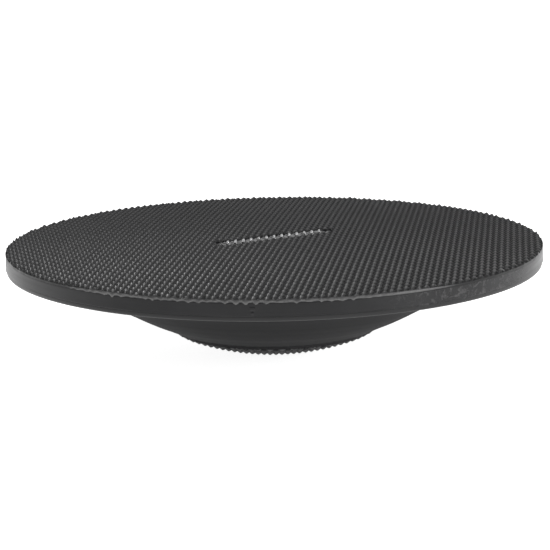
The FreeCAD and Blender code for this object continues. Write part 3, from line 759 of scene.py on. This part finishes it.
class BuildBaseShell(bpy.types.Operator):
    """Base shell: rounded lip, flat ring with countersunk screw holes, flank and the tread's seat"""

    bl_idname = "balance_dome.base_shell"
    bl_label = "Base shell"

    columns = 384
    patch = 3
    bore = 4.4 * MM
    counterbore = 9 * MM
    counterbore_end = 10.6 * MM
    boss = 16 * MM
    boss_top = 14.6 * MM
    lip_start = 0.19
    ring_step = 2.98 * MM

    def execute(self, context):
        rim, base = context.scene.dome_rim, context.scene.dome_base
        studs = context.scene.dome_studs
        path, flat = self.profile(rim, base, studs)
        theta = np.arange(self.columns) * 2 * math.pi / self.columns
        r, z = path[:, :1], path[:, 1:]
        shell = Surface()
        grid = shell.add(r * np.cos(theta), r * np.sin(theta), z)
        closed = np.concatenate([grid, grid[:1]])
        skip = np.zeros((len(path), self.columns), bool)
        spread = np.arange(-self.patch, self.patch)
        screws = np.arange(base.screw_count) * self.columns // base.screw_count
        for column in screws:
            skip[np.ix_(flat + spread, (column + spread) % self.columns)] = True
        shell.rings(closed, skip=skip)
        for column in screws:
            self.screw_hole(shell, grid, flat, column, theta[column], base)
        material = turned_rubber("turned rubber", context.scene.dome_finish)
        piece = shell.make("base_shell_moulding", material, sharp=32)
        settle(piece, "base_rubber", "base_shell")
        return {"FINISHED"}

    def profile(self, rim, base, studs):
        """The shell's section, closed: along the inside outward, down the lip, inward along the flat
        ring and the flank, over the tread's seat and up the bolt's bore. Gives the section and the row
        in it that lies on the screws' ring."""
        top, low = PLATE_LOW.z, BASE_RING
        lip = rim.radius - rim.lip_inset
        seat = base.tread_radius + base.gap
        foot = studs.height + sag(seat, base.sphere)
        floor = studs.height + base.sheet
        inner = floor + base.wall_rise
        dome_r = np.linspace(seat, self.boss, 12)[::-1]
        inside = np.stack([dome_r, inner + sag(dome_r, base.sphere)], 1)
        inside = np.concatenate([[[self.bore, self.boss_top], [self.boss, self.boss_top]], inside])
        up = [[base.crease_radius, base.crease_height + base.wall_rise], [165 * MM, top]]
        ring = base.screw_ring + self.ring_step * np.arange(self.patch, -self.patch - 1, -1)
        lip_path = rounded_path([
            (self.lip_start, top, 0),
            (lip, top, 0.35 * MM),
            (lip, low, rim.lip_round),
            (ring[0], low, 0),
        ], 9)
        flank = rounded_path([
            (ring[-1], low, 0),
            (base.root_radius, low, base.root_round * 0.55),
            (base.crease_radius, base.crease_height, 14 * MM),
            (seat, foot, 0.1 * MM),
            (seat, foot + base.sheet, 0),
        ], 9)
        flank = filled_path(flank, 2.5 * MM)
        flank[:, 1] -= self.rings_on(flank[:, 0], base)
        flat = np.stack([ring, np.full(len(ring), low)], 1)
        bowl_r = np.linspace(seat, self.counterbore, 10)[1:]
        bowl = np.stack([bowl_r, floor + sag(bowl_r, base.sphere)], 1)
        bore = [[self.counterbore, self.counterbore_end], [self.bore, self.counterbore_end]]
        path = np.concatenate([inside, up, lip_path, flat[1:-1], flank, bowl, bore])
        row = len(inside) + len(up) + len(lip_path) - 1 + self.patch
        return path, row

    def rings_on(self, r, base):
        """Faint raised rings on the flank, as a turned mould leaves: two sines of the radius, faded out
        towards the tread and towards the flat ring."""
        start = np.clip((r - base.tread_radius - 4 * MM) / (6 * MM), 0, 1)
        end = np.clip((base.root_radius - 6 * MM - r) / (8 * MM), 0, 1)
        return 0.05 * MM * (start * end) * (np.sin(r / (3.1 * MM)) + 0.6 * np.sin(r / (1.73 * MM) + 1.0))

    def screw_hole(self, shell, grid, flat, column, turn, base):
        """A square patch of the flat ring opened round one screw: its outline is drawn in to a circle,
        and the circle runs up a countersink into the screw's bore."""
        p, n = self.patch, self.columns
        side = np.arange(-p, p)
        rows = np.concatenate([side * 0 + p, -side, side * 0 - p, side])
        cols = np.concatenate([side, side * 0 + p, -side, side * 0 - p])
        outline = grid[flat + rows, (column + cols) % n]
        centre = np.array([base.screw_ring * math.cos(turn), base.screw_ring * math.sin(turn)])
        points = np.concatenate(shell.points)[outline]
        away = points[:, :2] - centre
        order = np.argsort(np.arctan2(away[:, 1], away[:, 0]))
        outline, away = outline[order], away[order]
        unit = away / np.linalg.norm(away, axis=1, keepdims=True)
        steps = np.array([[6.1, 0.0], [5.15, 0.0], [4.85, 0.25], [2.75, 2.45], [2.75, 3.35]]) * MM
        steps[:, 1] += BASE_RING
        ring = centre + unit[None] * steps[:, 0][:, None, None]
        rings = shell.add(ring[..., 0], ring[..., 1], steps[:, 1:])
        shell.rings(np.concatenate([outline[None], rings]))
        shell.fan(rings[-1], steps[-1, 1], downward=True, centre=centre)


def sag(radius, sphere):
    """How far a sphere has risen at that radius."""
    return sphere - np.sqrt(sphere**2 - radius**2)


class BuildDomeTread(bpy.types.Operator):
    """Studded rubber cap on the dome. Its studs point straight down, as they leave the mould"""

    bl_idname = "balance_dome.dome_tread"
    bl_label = "Dome tread"

    def execute(self, context):
        """The valley is a sphere, raised by a stud's height, and the studs hang from it. Towards the
        edge they even out to 0.55 of their height, and the rows are turned from the deck's."""
        studs, base = context.scene.dome_studs, context.scene.dome_base
        edge = base.tread_radius
        x, y, faces = studded_plan(edge, studs, [circle_limit(edge, CUT_MARGIN)])
        rise = stud_rise(x, y, studs)
        inset = np.clip((edge - np.hypot(x, y)) / (3.0 * MM), 0, 1)
        rise = rise + (1 - inset) ** 2 * (0.55 * studs.height - rise)
        c, w = math.cos(base.tread_turn), math.sin(base.tread_turn)
        x, y = x * c - y * w, x * w + y * c
        tread = Surface()
        tread.add(x, y, sag(np.hypot(x, y), base.sphere) + studs.height - rise, rise / studs.height)
        tread.faces.append(faces)
        ring = turn_order(open_edge(faces, len(x)), x, y, (0, 0))
        theta = np.arctan2(y[ring], x[ring])
        back = studs.height + base.sheet
        r = edge * np.array([[1.0], [1.0], [0.8], [0.6], [0.4], [0.2]])
        raised = np.full(r.shape, back)
        raised[0] = studs.height + 0.3 * MM
        z = sag(r, base.sphere) + raised
        rings = tread.add(r * np.cos(theta), r * np.sin(theta), z, 0.7)
        tread.rings(np.concatenate([ring[None], rings]))
        tread.fan(rings[-1], back, downward=True)
        material = studded_rubber("tread rubber", context.scene.dome_finish, 0.08)
        piece = tread.make(
            "dome_tread_studs", material, sharp=65, flip=True, attribute="stud_rise", feet=True
        )
        settle(piece, "tread_rubber", "dome_tread")
        return {"FINISHED"}


class BuildBadge(bpy.types.Operator):
    """Badge: a plate in the recess with a row of slanted, crowned bars"""

    bl_idname = "balance_dome.badge"
    bl_label = "Badge"

    bars = 13
    bar_pitch = 6.6 * MM
    bar_reach = 4.2 * MM
    bar_half = 1.3 * MM
    bar_lean = math.radians(32)
    play = 0.3 * MM

    def execute(self, context):
        deck = context.scene.dome_deck
        badge = Surface()
        low, plate_top = BADGE_LOW.z, BADGE_LOW.z + 0.9 * MM
        half = deck.badge_length / 2 - self.play
        wide = deck.badge_width / 2 - self.play
        a = np.linspace(0, 2 * math.pi, 96, endpoint=False)
        ends = half - wide
        s = np.cos(a) * wide + np.sign(np.cos(a)) * ends
        t = np.sin(a) * wide
        levels = np.array([
            [0.97, plate_top],
            [0.99, plate_top - 0.05 * MM],
            [1.0, plate_top - 0.25 * MM],
            [1.0, low],
        ])
        x, y = badge_place(s * levels[:, :1], t * levels[:, :1], deck)
        rings = badge.add(x, y, levels[:, 1:])
        badge.rings(rings)
        badge.fan(rings[0], plate_top)
        badge.fan(rings[-1], low, downward=True)
        for i in range(self.bars):
            place = (i - (self.bars - 1) / 2) * self.bar_pitch
            self.bar(badge, place, plate_top - 0.2 * MM, BADGE_HIGH.z, deck)
        material = gloss_badge("gloss badge", context.scene.dome_finish, deck.badge_turn)
        piece = badge.make("centre_badge_bars", material, sharp=50)
        settle(piece, "badge_gloss", "centre_badge")
        return {"FINISHED"}

    def bar(self, badge, place, low, high, deck):
        """One leaning bar: rounded-oblong rings, whose sine and cosine are taken to the power of a half,
        that draw in as they rise to a crowned top."""
        a = np.linspace(0, 2 * math.pi, 28, endpoint=False)
        across = np.sign(np.cos(a)) * np.abs(np.cos(a)) ** 0.5
        along = np.sign(np.sin(a)) * np.abs(np.sin(a)) ** 0.5
        rise = np.array([1.0, 0.94, 0.8, 0.55, 0.0])[:, None]
        size = np.array([0.25, 0.62, 0.86, 0.97, 1.0])[:, None]
        t = along * (self.bar_reach - (1 - size) * self.bar_half)
        s = across * size * self.bar_half + t * math.tan(self.bar_lean) + place
        x, y = badge_place(s, t, deck)
        rings = badge.add(x, y, low + (high - low) * rise)
        badge.rings(rings)
        centre = badge_place(place, 0.0, deck)
        badge.fan(rings[0], high, centre=centre)
        badge.fan(rings[-1], low, downward=True, centre=centre)


class FinishCore(bpy.types.Operator):
    """Materials of the plate, the ribs and the fasteners, which the frame carries"""

    bl_idname = "balance_dome.core"
    bl_label = "Core and fasteners"

    def execute(self, context):
        colours = context.scene.dome_finish
        dress(birch_plywood("birch plywood", colours), "deck_plate")
        dress(moulded_plastic("moulded plastic", colours), "rib_frame")
        zinc = metal("black zinc", colours.steel, 0.3, 0.42)
        dress(zinc, "shell_screws", "centre_bolt", "centre_washer", "centre_nut")
        dress(metal("turned brass", colours.brass, 0.22, 0.35), "threaded_inserts")
        return {"FINISHED"}


class BuildStage(bpy.types.Operator):
    """Pale floor, soft lights and the camera"""

    bl_idname = "balance_dome.stage"
    bl_label = "Stage"

    lamps = (
        ("overhead left", (-0.20, 0.0, 0.80), 0.22, 2.4),
        ("overhead right", (0.25, 0.0, 0.80), 0.22, 0.8),
        ("low right", (0.95, 2.0, 0.42), 0.7, 8.0),
        ("left", (-1.56, 0.14, 0.39), 0.7, 0.6),
        ("right", (1.56, 0.14, 0.39), 0.7, 1.0),
        ("front right", (1.3, -0.8, 0.5), 0.7, 9.0),
    )

    def execute(self, context):
        stage = context.scene.dome_stage
        self.floor(stage)
        self.sky(context.scene, stage)
        for name, place, size, power in self.lamps:
            self.light(name, Vector(place), size, power)
        self.camera(context.scene, stage)
        context.scene.view_settings.view_transform = "Standard"
        return {"FINISHED"}

    def floor(self, stage):
        """A wide pale disc just under the board, which also glows."""
        m = Recipe("pale floor")
        tone = m.blend(m.noise(3.0), full(stage.floor, 0.985), full(stage.floor))
        m.set(Base_Color=tone, Roughness=0.8)
        m.set(Emission_Color=(1, 1, 1, 1), Emission_Strength=stage.floor_glow)
        floor = Surface()
        a = np.linspace(0, 2 * math.pi, 64, endpoint=False)
        radius, z = 14.0, -0.2 * MM
        floor.fan(floor.add(radius * np.cos(a), radius * np.sin(a), z), z)
        floor.make("floor", m.material)

    def sky(self, scene, stage):
        """Even white light from all round."""
        scene.world = bpy.data.worlds.new("studio")
        scene.world.use_nodes = True
        back = scene.world.node_tree.nodes["Background"]
        back.inputs["Color"].default_value = (1.0, 1.0, 1.0, 1.0)
        back.inputs["Strength"].default_value = stage.sky

    def light(self, name, place, size, power):
        """A square soft light aimed at the board."""
        lamp = bpy.data.lights.new(name, "AREA")
        lamp.shape = "SQUARE"
        lamp.size = size
        lamp.energy = power
        holder = bpy.data.objects.new(name, lamp)
        holder.location = place
        holder.rotation_euler = (place - Vector((0.0, 0.0, 0.07))).to_track_quat("Z", "Y").to_euler()
        bpy.context.scene.collection.objects.link(holder)

    def camera(self, scene, stage):
        """The camera looks along +Y from in front, a little above the deck."""
        aim = Vector((stage.aim_side, 0.0, stage.aim_height))
        back = Vector((0.0, -math.cos(stage.elevation), math.sin(stage.elevation)))
        right = Vector((1.0, 0.0, 0.0))
        up = back.cross(right)
        tilted = right * math.cos(stage.roll) + up * math.sin(stage.roll)
        upright = back.cross(tilted)
        data = bpy.data.cameras.new("camera")
        data.sensor_width = 36.0
        data.lens = stage.lens
        data.clip_start, data.clip_end = 0.05, 60.0
        camera = bpy.data.objects.new("camera", data)
        turn = Matrix((tilted, upright, back)).transposed().to_4x4()
        camera.matrix_world = Matrix.Translation(aim + back * stage.distance) @ turn
        scene.collection.objects.link(camera)
        scene.camera = camera


STEPS = (BuildDeckMat, BuildRimBand, BuildBaseShell, BuildDomeTread, BuildBadge, FinishCore, BuildStage)


class DomePanel(bpy.types.Panel):
    """Sizes, colours and build steps of the balance dome trainer"""

    bl_idname = "VIEW3D_PT_balance_dome"
    bl_label = "Balance Dome"
    bl_space_type = "VIEW_3D"
    bl_region_type = "UI"
    bl_category = "Balance Dome"

    def draw(self, context):
        for step in STEPS:
            self.layout.operator(step.bl_idname)
        for name in GROUPS:
            box = self.layout.box()
            group = getattr(context.scene, name)
            for key in group.__annotations__:
                box.prop(group, key)


CLASSES = (*GROUPS.values(), *STEPS, DomePanel)


def register():
    for cls in CLASSES:
        bpy.utils.register_class(cls)
    for name, group in GROUPS.items():
        setattr(bpy.types.Scene, name, PointerProperty(type=group))


def unregister():
    for name in GROUPS:
        delattr(bpy.types.Scene, name)
    for cls in reversed(CLASSES):
        bpy.utils.unregister_class(cls)


def main():
    register()
    bpy.ops.balance_dome.deck_mat()
    bpy.ops.balance_dome.rim_band()
    bpy.ops.balance_dome.base_shell()
    bpy.ops.balance_dome.dome_tread()
    bpy.ops.balance_dome.badge()
    bpy.ops.balance_dome.core()
    bpy.ops.balance_dome.stage()


if __name__ == "__main__":
    main()
